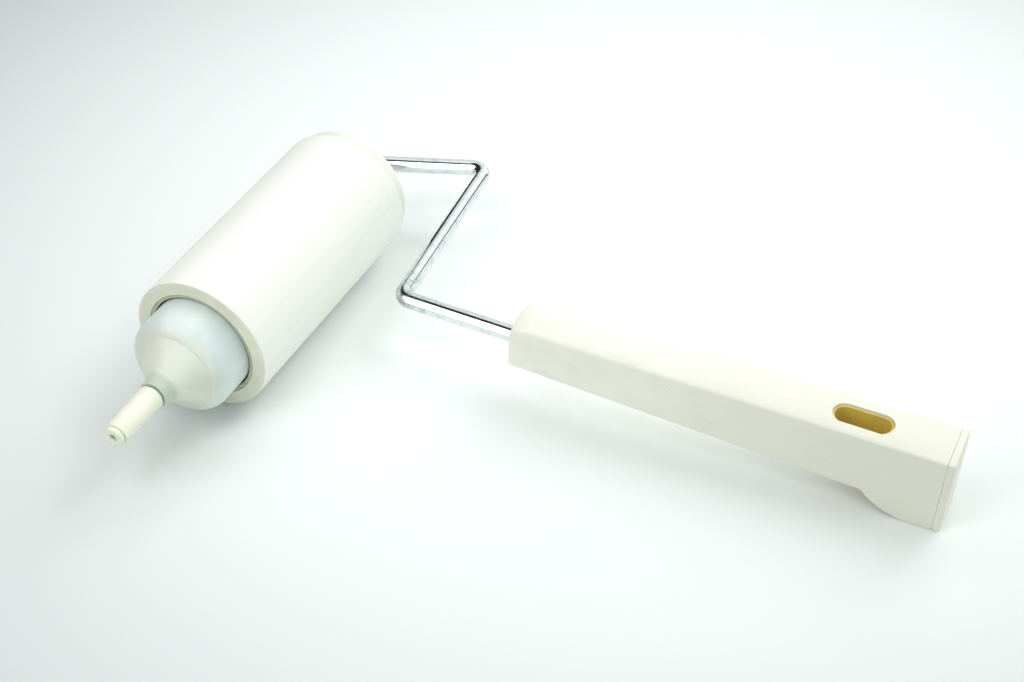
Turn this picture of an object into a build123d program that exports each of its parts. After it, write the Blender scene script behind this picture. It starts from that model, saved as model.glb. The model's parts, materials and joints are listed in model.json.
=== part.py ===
from build123d import *
import math
import os

# Refillable lint roller: a roll of sticky paper on a card tube, slid onto a hollow plastic
# core that spins on a bent steel wire, and a hollow plastic handle with a heel.
# Millimetres. +Z is up and z = 0 is the table: the roll and the heel both rest on it.
# The roller's axis lies along Y over the origin's X until the last step, which moves the
# whole assembly so that its origin is the middle of its footprint. +X runs to the handle.

# ---- driving dimensions -------------------------------------------------------------
SHEET_WIDTH = 100.0         # width of the paper, the length of the roll
ROLL_RADIUS = 26.75         # outside of the wound paper
CARD_OUTER = 21.45          # outside radius of the card tube
CARD_WALL = 1.3
CORE_RADIUS = 19.5          # outside of the plastic core that carries the card tube
CORE_WALL = 1.6

WIRE_RADIUS = 3.15
TILT = 2.12                 # the handle drops by this angle, so that its heel meets the table
HANDLE_TURN = 2.3           # the handle's line in the wire's plane, turned from +X
REAR_CORNER = (0.0, 72.1)   # corners of the wire's centre line, in the wire's own plane
FAR_CORNER = (41.9, 91.6)
NEAR_CORNER = (49.8, 6.5)
CORNER_BENDS = (5.0, 4.6, 4.2)  # centre-line bend radius of the wire at each corner

NOSE_LENGTH = 21.0          # tapered tube in front of the core's neck
NOSE_RADIUS = 4.75
NOSE_TIP_RADIUS = 4.4
NOSE_ROOT_EASE = 0.3
NOSE_TIP_EASE = 0.5

FRONT_X = 46.6              # the handle's front face, along its axis from the near corner
REAR_X = 208.5              # the handle's rear face, cap included
FRONT_WIDTH = 16.6
REAR_WIDTH = 19.6
FRONT_TOP = 11.1            # height of the upper side edges over the wire's axis
REAR_TOP = 14.4
FRONT_BOTTOM = -7.2
REAR_BOTTOM = -10.4         # underside carried on to the rear face, without the heel
FRONT_CROWN = 1.8           # rise of the handle's top between its side edges
REAR_CROWN = 0.8
SHELL_WALL = 2.2
CAP_THICKNESS = 2.8
FRONT_WALL = 4.0
FRONT_SHOULDER = 3.4        # rounding of the long upper edges, front and rear
REAR_SHOULDER = 1.2
UNDERSIDE_ROUND = 2.0
FRONT_ROUND = 3.0
CAP_ROUND = 0.9
CAP_SPIGOT = 7.0
CAP_WALL = 1.8
HEEL_START = 179.4          # where the heel leaves the underside
HEEL_RUN = 24.0             # length and drop of the heel's curve
HEEL_DROP = 9.2
HEEL_BELLY = 0.78           # share of the drop reached half way along the curve
HEEL_TANGENTS = [(0.62, -0.78), (1.0, -0.05)]
DEEP = -40.0                # well under the handle: construction faces reach down to here
THROUGH = 300.0             # length of a cutter that goes right through
OVERRUN = 1.0               # how far a cutter passes the face it opens

SLOT_LENGTH = 21.4          # hang hole in the shell, round-ended
SLOT_WIDTH = 9.6
SLOT_CENTRE = 174.3
SLOT_SIDE = -0.9            # the hang hole lies a little off the handle's middle line
LINER_WALL = 0.8
LINER_RECESS = 0.7          # how far the liner's ends lie under the shell's faces
FIT_GAP = 0.05              # between pieces that are pushed together
PRESS_GAP = 0.02            # between pieces that are pressed together

# ---- values that follow from them ---------------------------------------------------
HALF = SHEET_WIDTH / 2
CARD_INNER = CARD_OUTER - CARD_WALL
FLANGE_FACE = HALF + 0.4            # the refill's stop, clear of the paper's edge
FLANGE_THICKNESS = 6.2
FLANGE_RADIUS = 25.0
FLANGE_WEB = 2.2
FLANGE_ROUND = 2.6
FLANGE_RIM = 4.4                    # width of the raised rim round the dish
SPIGOT_LENGTH = 9.0
SPIGOT_WALL = 1.6
SPIGOT_GAP = 0.03
HUB_RADIUS = 7.5
DISH_SLOPE = 1.0                    # width of the flat land and of the sloped steps in the dish
RIM_EASE = 0.8                      # rounding of the paper's outer edges
SHOULDER_SWEEP = 72.0               # degrees of the core's shoulder before its cone starts
SHOULDER_Y = -HALF - 10.5           # where the core's shoulder starts to round
SHOULDER_ROUND = 6.0
NECK_ROOT_Y = -75.0
NECK_FRONT_Y = -79.5
NECK_RADIUS = 5.35
NECK_FLARE = 1.0
BUSH_OUTER = 4.3
BUSH_POCKET = 5.6                   # inside radius of the core round the front bush's collar
BUSH_COLLAR = 5.4
BUSH_COLLAR_LENGTH = 1.2
BUSH_SEAT_Y = NECK_ROOT_Y + 1.6     # step inside the core that the front bush sits on
RUNNING_GAP = 0.05
WASHER_THICKNESS = 0.6
AXIAL_PLAY = 0.15
BORE = WIRE_RADIUS + RUNNING_GAP
NOSE_ROOT_Y = NECK_FRONT_Y - WASHER_THICKNESS - 2 * AXIAL_PLAY
NOSE_TIP_Y = NOSE_ROOT_Y - NOSE_LENGTH
PLUG_HEAD = 1.8
PLUG_RADIUS = 3.85
PLUG_ROUND = 0.7
PLUG_HOLE = 1.4
PLUG_DEPTH = 5.0
WIRE_FRONT_Y = NOSE_TIP_Y + PLUG_DEPTH
REAR_BUSH_FLANGE = 1.0
REAR_BUSH_COLLAR = 6.3
REAR_WASHER_Y = FLANGE_FACE + FLANGE_THICKNESS + REAR_BUSH_FLANGE + AXIAL_PLAY
REAR_WASHER = 1.0
REAR_WASHER_RADIUS = 6.5
COLLAR_LENGTH = 4.5
COLLAR_RADIUS = 5.55
COLLAR_CHAMFER = 0.8
SHANK_LENGTH = 62.0                 # wire inside the handle
INSERT_RADIUS = 5.4
INSERT_LENGTH = 54.0
INSERT_PLATE = 4.0
PIN_X = FRONT_X + 44.0
PIN_RADIUS = 1.25
PIN_GAP = 0.03
PIN_SHORT = 0.3                     # how far each end of the pin lies inside the insert
SHELL_REAR = REAR_X - CAP_THICKNESS


def revolved(points):
    """A ring or turned part from (radius, y) points, turned about the roller's axis."""
    outline = Polyline(*[(r, y) for r, y in points], close=True)
    turned = revolve(Plane.XY * make_face(outline), axis=Axis.Y)
    return Pos(0, 0, ROLL_RADIUS) * turned


def tube(outer, inner, y_low, y_high):
    """A plain round tube along the roller's axis."""
    return revolved([(inner, y_low), (outer, y_low), (outer, y_high), (inner, y_high)])


# ---- refill -------------------------------------------------------------------------
def paper_roll():
    """The wound sheets as one closed ring, its two outer rims eased."""
    ring = tube(ROLL_RADIUS, CARD_OUTER, -HALF, HALF)
    rims = ring.edges().filter_by(GeomType.CIRCLE).group_by(SortBy.RADIUS)[-1]
    return fillet(rims, RIM_EASE)


def card_tube():
    return tube(CARD_OUTER, CARD_INNER, -HALF, HALF)


# ---- spinning core ------------------------------------------------------------------
def arc_points(centre_r, centre_y, radius, start, end, steps=10):
    """Points (radius, y) round an arc, its angles in degrees from the outward direction."""
    angles = [math.radians(start + (end - start) * i / steps) for i in range(steps + 1)]
    return [(centre_r + radius * math.cos(a), centre_y + radius * math.sin(a)) for a in angles]


def roller_core():
    """Hollow moulding: a straight barrel, a rounded shoulder, a cone and a short neck."""
    bend = CORE_RADIUS - SHOULDER_ROUND
    outer = arc_points(bend, SHOULDER_Y, SHOULDER_ROUND, 0, -SHOULDER_SWEEP)
    inner = arc_points(bend, SHOULDER_Y, SHOULDER_ROUND - CORE_WALL, 0, -SHOULDER_SWEEP)
    outside = [(CORE_RADIUS, FLANGE_FACE)] + outer
    outside += [(NECK_RADIUS + NECK_FLARE, NECK_ROOT_Y), (NECK_RADIUS, NECK_ROOT_Y - NECK_FLARE)]
    outside += [(NECK_RADIUS, NECK_FRONT_Y)]
    inside = [(BUSH_OUTER, NECK_FRONT_Y), (BUSH_OUTER, BUSH_SEAT_Y), (BUSH_POCKET, BUSH_SEAT_Y)]
    inside += list(reversed(inner)) + [(CORE_RADIUS - CORE_WALL, FLANGE_FACE)]
    return revolved(outside + inside)


def flange_plug():
    """Rear end piece: a spigot in the barrel, a dished flange that stops the refill, a hub."""
    spigot = CORE_RADIUS - CORE_WALL - SPIGOT_GAP
    bore = spigot - SPIGOT_WALL
    front = FLANGE_FACE - SPIGOT_LENGTH
    back = FLANGE_FACE + FLANGE_THICKNESS
    web = FLANGE_FACE + FLANGE_WEB
    rim = arc_points(FLANGE_RADIUS - FLANGE_ROUND, back - FLANGE_ROUND, FLANGE_ROUND, 0, 90)
    outside = [(bore, front), (spigot, front), (spigot, FLANGE_FACE), (FLANGE_RADIUS, FLANGE_FACE)]
    dish = [(FLANGE_RADIUS - FLANGE_ROUND - DISH_SLOPE, back), (FLANGE_RADIUS - FLANGE_RIM, web),
            (HUB_RADIUS + DISH_SLOPE, web), (HUB_RADIUS, back), (BUSH_OUTER, back)]
    inside = [(BUSH_OUTER, front), (HUB_RADIUS, front), (HUB_RADIUS, FLANGE_FACE), (bore, FLANGE_FACE)]
    return revolved(outside + rim + dish + inside)


def front_bush():
    """Plain bush pressed into the neck, with a collar against the neck's root inside."""
    rear = BUSH_SEAT_Y + BUSH_COLLAR_LENGTH
    return revolved([(BORE, NECK_FRONT_Y), (BUSH_OUTER, NECK_FRONT_Y), (BUSH_OUTER, BUSH_SEAT_Y),
                     (BUSH_COLLAR, BUSH_SEAT_Y), (BUSH_COLLAR, rear), (BORE, rear)])


def rear_bush():
    """Plain bush pressed into the hub, with its collar outside."""
    back = FLANGE_FACE + FLANGE_THICKNESS
    front = FLANGE_FACE - SPIGOT_LENGTH
    return revolved([(BORE, front), (BUSH_OUTER, front), (BUSH_OUTER, back),
                     (REAR_BUSH_COLLAR, back), (REAR_BUSH_COLLAR, back + REAR_BUSH_FLANGE),
                     (BORE, back + REAR_BUSH_FLANGE)])


# ---- on the wire --------------------------------------------------------------------
def front_washer():
    start = NECK_FRONT_Y - AXIAL_PLAY
    return tube(BUSH_OUTER, BORE, start - WASHER_THICKNESS, start)


def rear_washer():
    return tube(REAR_WASHER_RADIUS, BORE, REAR_WASHER_Y, REAR_WASHER_Y + REAR_WASHER)


def stop_collar():
    """Ring pressed on the wire behind the core, chamfered at its back."""
    start = REAR_WASHER_Y + REAR_WASHER
    end = start + COLLAR_LENGTH
    return revolved([(WIRE_RADIUS, start), (COLLAR_RADIUS, start), (COLLAR_RADIUS, end - COLLAR_CHAMFER),
                     (COLLAR_RADIUS - COLLAR_CHAMFER, end), (WIRE_RADIUS, end)])


def nose_tube():
    """Tapered tube pressed on the wire's front end: it keeps the core on the wire."""
    return revolved([(WIRE_RADIUS, NOSE_ROOT_Y), (NOSE_RADIUS - NOSE_ROOT_EASE, NOSE_ROOT_Y),
                     (NOSE_RADIUS, NOSE_ROOT_Y - NOSE_ROOT_EASE),
                     (NOSE_TIP_RADIUS, NOSE_TIP_Y + NOSE_TIP_EASE),
                     (NOSE_TIP_RADIUS - NOSE_TIP_EASE, NOSE_TIP_Y), (WIRE_RADIUS, NOSE_TIP_Y)])


def nose_plug():
    """End plug of the nose tube: a round-edged head with a small hole through it."""
    front = NOSE_TIP_Y - PLUG_HEAD
    edge = arc_points(PLUG_RADIUS - PLUG_ROUND, front + PLUG_ROUND, PLUG_ROUND, -90, 0, 4)
    return revolved([(PLUG_HOLE, front)] + edge + [
        (PLUG_RADIUS, NOSE_TIP_Y), (WIRE_RADIUS, NOSE_TIP_Y), (WIRE_RADIUS, WIRE_FRONT_Y),
        (PLUG_HOLE, WIRE_FRONT_Y)])


# ---- wire frame and handle ----------------------------------------------------------
WIRE_PLANE = Location((0, 0, ROLL_RADIUS)) * Rotation(0, TILT, 0)
HANDLE_PLACE = WIRE_PLANE * Location((NEAR_CORNER[0], NEAR_CORNER[1], 0)) * Rotation(0, 0, HANDLE_TURN)
PIN_PLACE = Pos(PIN_X, 0, 0) * Rotation(90, 0, 0)


def cross_hole():
    """The hole for the shank pin, in the handle's frame."""
    return PIN_PLACE * Cylinder(PIN_RADIUS + PIN_GAP, 4 * INSERT_RADIUS)


def wire_frame():
    """One bent wire: the axle, the offset round the roller's end, and the shank."""
    turn = math.radians(HANDLE_TURN)
    reach = FRONT_X + SHANK_LENGTH
    shank_end = (NEAR_CORNER[0] + reach * math.cos(turn), NEAR_CORNER[1] + reach * math.sin(turn))
    route = FilletPolyline((0, WIRE_FRONT_Y), REAR_CORNER, FAR_CORNER, NEAR_CORNER, shank_end,
                           radius=CORNER_BENDS)
    section = Plane(origin=(0, WIRE_FRONT_Y, 0), z_dir=(0, 1, 0)) * Circle(WIRE_RADIUS)
    wire = sweep(section, path=route)
    return WIRE_PLANE * wire - HANDLE_PLACE * cross_hole()


def along(x, front_value, rear_value):
    """A handle dimension at x, tapering evenly from the front face to the rear face."""
    return front_value + (rear_value - front_value) * (x - FRONT_X) / (REAR_X - FRONT_X)


def handle_section(x, inset):
    """Cross-section at x: flat sides, crowned top, taken down past the heel."""
    half_width = along(x, FRONT_WIDTH, REAR_WIDTH) / 2 - inset
    top = along(x, FRONT_TOP, REAR_TOP) - inset
    crown = along(x, FRONT_CROWN, REAR_CROWN)
    corner = along(x, FRONT_SHOULDER, REAR_SHOULDER) * (1 - inset / (2 * SHELL_WALL))
    outline = Curve() + [Line((-half_width, DEEP), (half_width, DEEP)),
                         Line((half_width, DEEP), (half_width, top)),
                         ThreePointArc((half_width, top), (0, top + crown), (-half_width, top)),
                         Line((-half_width, top), (-half_width, DEEP))]
    face = make_face(outline)
    face = fillet(face.vertices().group_by(Axis.Y)[-1], corner)
    return Plane(origin=(x, 0, 0), x_dir=(0, 1, 0), z_dir=(1, 0, 0)) * face


def side_profile(inset):
    """Side view of the handle: a straight underside, then the heel's round belly."""
    front_low = FRONT_BOTTOM + inset
    heel_x = HEEL_START + inset
    heel_low = along(HEEL_START, FRONT_BOTTOM, REAR_BOTTOM) + inset
    belly = (heel_x + HEEL_RUN / 2, heel_low - HEEL_DROP * HEEL_BELLY)
    sole = (heel_x + HEEL_RUN, heel_low - HEEL_DROP)
    past = REAR_X + OVERRUN
    outline = Curve() + [
        Line((FRONT_X, -DEEP), (FRONT_X, front_low)),
        Line((FRONT_X, front_low), (heel_x, heel_low)),
        Spline((heel_x, heel_low), belly, sole, tangents=HEEL_TANGENTS),
        Line(sole, (past, sole[1])),
        Line((past, sole[1]), (past, -DEEP)),
        Line((past, -DEEP), (FRONT_X, -DEEP))]
    face = Plane(origin=(0, 0, 0), x_dir=(1, 0, 0), z_dir=(0, -1, 0)) * make_face(outline)
    return extrude(face, -DEEP, both=True)


def table_side(inset):
    """Everything over the table, seen from the handle's own frame."""
    room = 800.0
    return HANDLE_PLACE.inverse() * Pos(0, 0, room / 2 + inset) * Box(room, room, room)


def handle_blank(x_low, x_high, inset=0.0):
    """The handle's solid form between two stations, drawn in all round by inset."""
    prism = loft([handle_section(x_low, inset), handle_section(x_high, inset)])
    return prism & side_profile(inset) & table_side(inset)


def slot_prism(length, width):
    return Pos(SLOT_CENTRE, SLOT_SIDE, 0) * extrude(SlotOverall(length, width), -DEEP, both=True)


def wire_hole(radius):
    """A long hole on the wire's line through the front of the handle."""
    return Pos(FRONT_X, 0, 0) * Rotation(0, 90, 0) * Cylinder(radius, THROUGH)


def handle_shell():
    """Hollow moulding, open at its rear: the wire goes in at the front, the hang hole through."""
    outer = handle_blank(FRONT_X, SHELL_REAR)
    belly = (HEEL_START, HEEL_START + HEEL_RUN)
    lower = outer.edges().filter_by(lambda e: e.center().Z < FRONT_BOTTOM + OVERRUN)
    along_x = lower.filter_by(lambda e: e.length > SHEET_WIDTH or belly[0] < e.center().X < belly[1])
    outer = fillet(along_x, UNDERSIDE_ROUND)
    outer = fillet(outer.faces().sort_by(Axis.X)[0].edges(), FRONT_ROUND)
    inner = handle_blank(FRONT_X + FRONT_WALL, SHELL_REAR + OVERRUN, SHELL_WALL)
    front_hole = wire_hole(WIRE_RADIUS + FIT_GAP) & handle_blank(FRONT_X, FRONT_X + FRONT_WALL + OVERRUN)
    return outer - inner - front_hole - slot_prism(SLOT_LENGTH, SLOT_WIDTH)


def handle_end_cap():
    """Cap over the open rear end: a round-edged plate with a hollow spigot inside the shell."""
    plate = handle_blank(SHELL_REAR, REAR_X)
    plate = fillet(plate.faces().sort_by(Axis.X)[-1].edges(), CAP_ROUND)
    spigot = handle_blank(SHELL_REAR - CAP_SPIGOT, SHELL_REAR, SHELL_WALL + FIT_GAP)
    hollow = handle_blank(SHELL_REAR - CAP_SPIGOT - OVERRUN, SHELL_REAR, SHELL_WALL + CAP_WALL)
    return plate + (spigot - hollow)


def hang_hole_liner():
    """Oval sleeve down the hang hole, its ends drawn in from the shell's two faces."""
    form = handle_blank(SLOT_CENTRE - SLOT_LENGTH, SLOT_CENTRE + SLOT_LENGTH, LINER_RECESS)
    outside = slot_prism(SLOT_LENGTH - 2 * FIT_GAP, SLOT_WIDTH - 2 * FIT_GAP)
    trim = 2 * (FIT_GAP + LINER_WALL)
    return (outside - slot_prism(SLOT_LENGTH - trim, SLOT_WIDTH - trim)) & form


def shank_insert():
    """Moulding that holds the wire inside the shell: a tube with three plates on it."""
    start = FRONT_X + FRONT_WALL
    barrel = Pos(start + INSERT_LENGTH / 2, 0, 0) * Rotation(0, 90, 0)
    barrel = barrel * Cylinder(INSERT_RADIUS, INSERT_LENGTH)
    body = barrel & handle_blank(start, start + INSERT_LENGTH, SHELL_WALL + FIT_GAP)
    pitch = (INSERT_LENGTH - INSERT_PLATE) / 2
    for i in range(3):
        low = start + i * pitch
        body += handle_blank(low, low + INSERT_PLATE, SHELL_WALL + FIT_GAP)
    return body - wire_hole(WIRE_RADIUS + PRESS_GAP) - cross_hole()


def shank_pin():
    """Cross pin through the insert and the wire."""
    return PIN_PLACE * Cylinder(PIN_RADIUS, 2 * (INSERT_RADIUS - PIN_SHORT))


# ---- the assembly -------------------------------------------------------------------
def pieces():
    """Every sub-part by node name, the roller's axis over X = 0."""
    roller = {
        "paper_roll": paper_roll(),
        "card_tube": card_tube(),
        "roller_core": roller_core(),
        "flange_plug": flange_plug(),
        "front_bush": front_bush(),
        "rear_bush": rear_bush(),
        "front_washer": front_washer(),
        "rear_washer": rear_washer(),
        "stop_collar": stop_collar(),
        "nose_tube": nose_tube(),
        "nose_plug": nose_plug(),
        "wire_frame": wire_frame(),
    }
    handle = {
        "handle_shell": handle_shell(),
        "handle_end_cap": handle_end_cap(),
        "hang_hole_liner": hang_hole_liner(),
        "shank_insert": shank_insert(),
        "shank_pin": shank_pin(),
    }
    for name, shape in handle.items():
        roller[name] = HANDLE_PLACE * shape
    return roller


assembly = pieces()
middle = Compound(list(assembly.values())).bounding_box().center()
os.makedirs("parts", exist_ok=True)
for name, shape in assembly.items():
    export_step(Pos(-middle.X, -middle.Y, 0) * shape, "parts/" + name + ".step")
print("roller axis at x", round(-middle.X, 4), "roll's middle at y", round(-middle.Y, 4))
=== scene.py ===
import json
import math

import bmesh
import bpy
import numpy as np
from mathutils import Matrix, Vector


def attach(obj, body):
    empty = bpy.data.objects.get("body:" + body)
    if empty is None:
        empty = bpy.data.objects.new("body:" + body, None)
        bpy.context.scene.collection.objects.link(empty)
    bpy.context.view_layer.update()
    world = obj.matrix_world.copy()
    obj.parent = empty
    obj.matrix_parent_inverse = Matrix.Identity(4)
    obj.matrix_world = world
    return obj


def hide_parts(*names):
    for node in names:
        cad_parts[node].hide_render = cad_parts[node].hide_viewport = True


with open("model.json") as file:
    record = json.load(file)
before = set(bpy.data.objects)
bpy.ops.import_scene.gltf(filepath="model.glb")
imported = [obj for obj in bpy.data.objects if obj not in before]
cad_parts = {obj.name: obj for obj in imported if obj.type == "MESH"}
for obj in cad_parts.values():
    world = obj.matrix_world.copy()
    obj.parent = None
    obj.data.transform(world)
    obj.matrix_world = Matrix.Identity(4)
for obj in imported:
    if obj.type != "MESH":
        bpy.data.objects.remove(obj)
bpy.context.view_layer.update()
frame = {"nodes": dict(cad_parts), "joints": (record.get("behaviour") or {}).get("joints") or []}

# Lint roller: sticky paper refill on a frosted core, bent chrome wire, cream moulded handle.
# Shapes are worked out in millimetres and put into the meshes in metres, in the row frame.
MM = 0.001
WELD = 0.003        # points closer than this are joined, in millimetres

# ---- driving dimensions, in millimetres ----------------------------------------------
SPIN = next(j for j in frame["joints"] if j["name"] == "roller_spin")
AXIS_X, AXIS_Y, AXIS_Z = (c / MM for c in SPIN["pos_m"])    # middle of the roll, on its axis

ROLL_HALF = 50.0
ROLL_RADIUS = 26.75
SHEET_STEP = 0.16           # ledge at the outer sheet's free edge
SHEET_EDGE = math.radians(205)      # where that edge lies round the roll
HANDLED_SPOT = (19, 36, 19)         # middle of the paper's dented patch, from the roll's middle
CARD_OUTER = 21.45
CARD_INNER = 20.15
CORE_RADIUS = 19.5
CORE_WALL = 1.6
FLANGE_FACE = 50.4
FLANGE_BACK = 56.6
FLANGE_WEB_Y = 52.6
FLANGE_RADIUS = 25.0
SPIGOT_FRONT = 41.4
SPIGOT_RADIUS = 17.87
HUB_RADIUS = 7.5
BUSH_RADIUS = 4.3
BUSH_SEAT_Y = -73.4
BUSH_COLLAR = 5.6
SHOULDER_Y = -60.5
SHOULDER_ROUND = 6.0
SHOULDER_SWEEP = 72.0       # degrees
NECK_ROOT_Y = -75.0
NECK_FRONT_Y = -79.5
NECK_RADIUS = 5.35
NECK_TAPER = 0.5
NECK_ROUND = 0.6
COLLAR_Y = (58.75, 63.25)
COLLAR_RADIUS = 5.55
NOSE_ROOT_Y = -80.4
NOSE_TIP_Y = -101.4
NOSE_RADIUS = 4.75
NOSE_TIP_RADIUS = 4.4
PLUG_FRONT_Y = -103.2
PLUG_RADIUS = 3.85
PLUG_HOLE = 1.4

WIRE_RADIUS = 3.15
WIRE_FRONT_Y = -96.4
REAR_CORNER = (0.0, 72.1)
FAR_CORNER = (41.9, 91.6)
NEAR_CORNER = (49.8, 6.5)
CORNER_BENDS = (5.0, 4.6, 4.2)
SHANK_END = 108.6
TILT = math.radians(2.12)
HANDLE_TURN = math.radians(2.3)

FRONT_X = 46.6
REAR_X = 208.5
SEAM_X = 205.7
FRONT_WIDTH = 16.6
REAR_WIDTH = 19.6
FRONT_TOP = 11.1
REAR_TOP = 14.4
FRONT_BOTTOM = -7.2
REAR_BOTTOM = -10.4
FRONT_CROWN = 1.8
REAR_CROWN = 0.8
SHELL_WALL = 2.2
FRONT_WALL = 4.0
FRONT_SHOULDER = 1.9        # rounding of the long upper edges
REAR_SHOULDER = 0.75
UNDERSIDE_ROUND = 0.6
FRONT_ROUND = 1.5
NOSE_DROP = 5.0             # larger rounding over the handle's top front edge
SEAM_EASE = 0.35
CAP_ROUND = 0.9
CAP_SPIGOT = 7.0
CAP_WALL = 1.8
HEEL_START = 179.4
HEEL_RUN = 24.0
HEEL_DROP = 9.2
HEEL_BELLY = 0.78
HEEL_SLOPES = (2.95, 0.76, 0.13)    # drop over run at the heel's start, middle and end
SLOT_CENTRE = 174.3
SLOT_LENGTH = 21.4
SLOT_WIDTH = 9.6
SLOT_SIDE = -0.9            # the hang hole lies a little off the handle's middle line
SLOT_EASE = 0.15
LINER_WALL = 0.8
LINER_RECESS = 0.7
FIT_GAP = 0.05
PATCH_MARGIN = 2.2          # skin left round the hang hole's outline
CAP_MIDDLE = 1.5            # height that the cap's end faces close on


# ---- mesh helpers ---------------------------------------------------------------------
def sheet(points, close_rows=False, close_columns=False, keep=None, finish=0):
    """One block of a skin: a rows by columns grid of points, wrapped where it closes on itself."""
    points = np.asarray(points, float)
    rows, columns = points.shape[:2]
    row, column = np.meshgrid(np.arange(rows if close_rows else rows - 1),
                              np.arange(columns if close_columns else columns - 1), indexing="ij")
    below, beside = (row + 1) % rows, (column + 1) % columns
    quads = np.stack([row * columns + column, below * columns + column,
                      below * columns + beside, row * columns + beside], -1)
    finish = np.broadcast_to(np.asarray(finish), row.shape)
    kept = np.ones(row.shape, bool) if keep is None else keep
    return points.reshape(-1, 3), quads[kept], finish[kept]


def make_piece(name, blocks, materials, body, replaces, crease=32.0):
    """One closed mesh from blocks that meet at their edges: joined, turned outwards, put on its body."""
    starts = np.cumsum([0] + [len(points) for points, _, _ in blocks])
    points = np.concatenate([points for points, _, _ in blocks]) * MM
    quads = np.concatenate([q + s for (_, q, _), s in zip(blocks, starts)])
    finish = np.concatenate([f for _, _, f in blocks])
    mesh = bpy.data.meshes.new(name)
    mesh.from_pydata(points.tolist(), [], quads.tolist())
    mesh.polygons.foreach_set("material_index", finish.astype(np.int32))
    work = bmesh.new()
    work.from_mesh(mesh)
    bmesh.ops.remove_doubles(work, verts=work.verts, dist=WELD * MM)
    bmesh.ops.recalc_face_normals(work, faces=work.faces)
    work.to_mesh(mesh)
    work.free()
    for material in materials:
        mesh.materials.append(material)
    mesh.shade_smooth()
    mesh.set_sharp_from_angle(angle=math.radians(crease))
    piece = bpy.data.objects.new(name, mesh)
    bpy.context.scene.collection.objects.link(piece)
    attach(piece, body)
    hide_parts(replaces)
    return piece


def eased(corners, closed=True, steps=7):
    """A run of (a, b, radius) corners with each corner turned on an arc.

    An arc's centre lies on the corner's bisector, radius / sin(half the corner's angle) from it,
    and its points turn evenly from one leg to the other. A point further out on each leg holds
    the flat faces flat. Ends of an open run stay as they are.
    """
    p = np.array([c[:2] for c in corners], float)
    radius = np.array([c[2] for c in corners], float)[:, None]
    to_last, to_next = np.roll(p, 1, 0) - p, np.roll(p, -1, 0) - p
    to_last /= np.linalg.norm(to_last, axis=1, keepdims=True)
    to_next /= np.linalg.norm(to_next, axis=1, keepdims=True)
    half = np.arccos(np.clip((to_last * to_next).sum(1, keepdims=True), -1, 1)) / 2
    reach = radius / np.tan(half)
    bisector = to_last + to_next
    centre = p + bisector / np.linalg.norm(bisector, axis=1, keepdims=True) * radius / np.sin(half)
    first, last = p + to_last * reach - centre, p + to_next * reach - centre
    turn = math.pi - 2 * half
    k = np.linspace(0, 1, steps)[:, None, None]
    arcs = centre + (np.sin((1 - k) * turn) * first + np.sin(k * turn) * last) / np.sin(turn)
    hold = 0.12 * radius + 0.02
    runs = np.concatenate([(p + to_last * (reach + hold))[None], arcs,
                           (p + to_next * (reach + hold))[None]])
    if closed:
        return runs.transpose(1, 0, 2).reshape(-1, 2)
    middle = runs[:, 1:-1].transpose(1, 0, 2).reshape(-1, 2)
    return np.concatenate([p[:1], middle, p[-1:]])


def turned(outline, segments=168, start=0.0, ledge=0.0, finish=0):
    """A closed (radius, y) outline turned about the roller's axis: (r cos a, y, r sin a).

    With a ledge the outside shrinks evenly by that much over one turn, like a rolled sheet.
    """
    seam = 1e-3 if ledge else 2 * math.pi / segments
    angle = start + np.linspace(0, 2 * math.pi - seam, segments)
    radius = np.repeat(outline[:, :1], segments, 1)
    share = (angle - start) / (2 * math.pi)
    outside = np.clip((radius - (ROLL_RADIUS - 1)) / 1.0, 0, 1)
    radius = radius - ledge * share * outside
    y = np.repeat(outline[:, 1:], segments, 1)
    points = np.stack([radius * np.cos(angle) + AXIS_X, y + AXIS_Y,
                       radius * np.sin(angle) + AXIS_Z], -1)
    return sheet(points, close_rows=True, close_columns=True, finish=finish)


def on_wire_plane(points):
    """Points of the wire's own plane, tilted about the roller's axis and lifted to it."""
    x, y, z = np.moveaxis(points, -1, 0)
    c, s = math.cos(TILT), math.sin(TILT)
    return np.stack([x * c + z * s + AXIS_X, y + AXIS_Y, z * c - x * s + AXIS_Z], -1)


def on_handle(points):
    """Points of the handle's own frame: turned on the wire's plane, from the near corner."""
    x, y, z = np.moveaxis(points, -1, 0)
    c, s = math.cos(HANDLE_TURN), math.sin(HANDLE_TURN)
    turned_points = np.stack([NEAR_CORNER[0] + x * c - y * s, NEAR_CORNER[1] + x * s + y * c, z], -1)
    row = on_wire_plane(turned_points)
    row[..., 2] = np.maximum(row[..., 2], 0)
    return row


# ---- material helpers -----------------------------------------------------------------
def colour(code):
    """An sRGB hex value as linear red, green, blue and full alpha."""
    s = np.array([int(code[i:i + 2], 16) for i in (1, 3, 5)]) / 255
    linear = np.where(s <= 0.04045, s / 12.92, ((s + 0.055) / 1.055) ** 2.4)
    return (*linear.tolist(), 1.0)


def add(tree, kind, give=0, **values):
    """Adds a node and gives one of its output sockets, by place or name.

    A value named like a property of the node sets it. Any other goes to an input, by its name
    with _ for spaces or by its place (in_0): a socket is linked to it, anything else is set.
    """
    made = tree.nodes.new(kind)
    for key, value in values.items():
        if hasattr(made, key):
            setattr(made, key, value)
            continue
        socket = made.inputs[int(key[3:]) if key.startswith("in_") else key.replace("_", " ")]
        if isinstance(value, bpy.types.NodeSocket):
            tree.links.new(value, socket)
        else:
            socket.default_value = value
    return made.outputs[give] if made.outputs else made


def blank(name):
    """A material without nodes, its node tree and its Object coordinates."""
    made = bpy.data.materials.new(name)
    made.use_nodes = True
    made.node_tree.nodes.clear()
    return made, made.node_tree, add(made.node_tree, "ShaderNodeTexCoord", "Object")


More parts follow.
